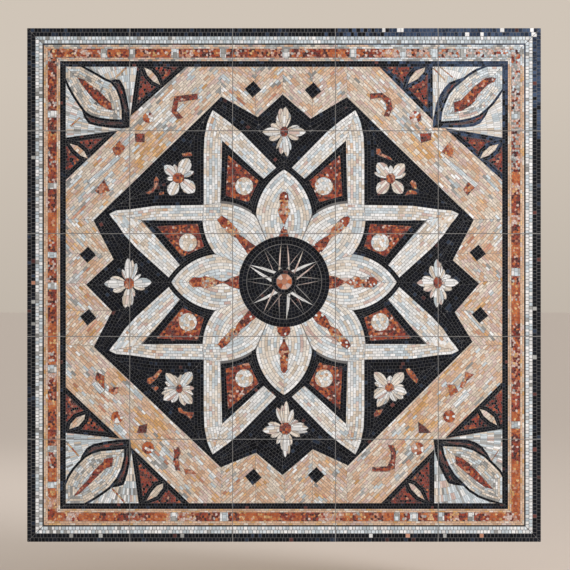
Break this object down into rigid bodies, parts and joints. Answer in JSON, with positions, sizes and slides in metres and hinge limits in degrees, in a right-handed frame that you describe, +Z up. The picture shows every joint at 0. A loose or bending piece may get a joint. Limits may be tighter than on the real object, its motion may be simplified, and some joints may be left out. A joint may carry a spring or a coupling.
{
  "type": "mosaic panel",
  "caption": "Square wall panel of inlaid stone mosaic with a star and compass medallion, set on a flat backing board.",
  "frame": {"origin": "centre of the board's back face, where it lies on the wall", "axes": "+X to the right as the picture is seen, +Z up, +Y into the wall, so the face looks to -Y"},
  "size_m": [1.5, 0.022, 1.5],
  "materials": {
    "stone_mosaic": "honed stone pieces with cement joints",
    "backing_board": "bare board"
  },
  "bodies": {
    "root": {"backing_board": "backing_board", "sheet_r1_c1": "stone_mosaic", "sheet_r1_c2": "stone_mosaic", "sheet_r1_c3": "stone_mosaic", "sheet_r1_c4": "stone_mosaic", "sheet_r1_c5": "stone_mosaic", "sheet_r2_c1": "stone_mosaic", "sheet_r2_c2": "stone_mosaic", "sheet_r2_c3": "stone_mosaic", "sheet_r2_c4": "stone_mosaic", "sheet_r2_c5": "stone_mosaic", "sheet_r3_c1": "stone_mosaic", "sheet_r3_c2": "stone_mosaic", "sheet_r3_c3": "stone_mosaic", "sheet_r3_c4": "stone_mosaic", "sheet_r3_c5": "stone_mosaic", "sheet_r4_c1": "stone_mosaic", "sheet_r4_c2": "stone_mosaic", "sheet_r4_c3": "stone_mosaic", "sheet_r4_c4": "stone_mosaic", "sheet_r4_c5": "stone_mosaic", "sheet_r5_c1": "stone_mosaic", "sheet_r5_c2": "stone_mosaic", "sheet_r5_c3": "stone_mosaic", "sheet_r5_c4": "stone_mosaic", "sheet_r5_c5": "stone_mosaic"}
  },
  "joints": []
}
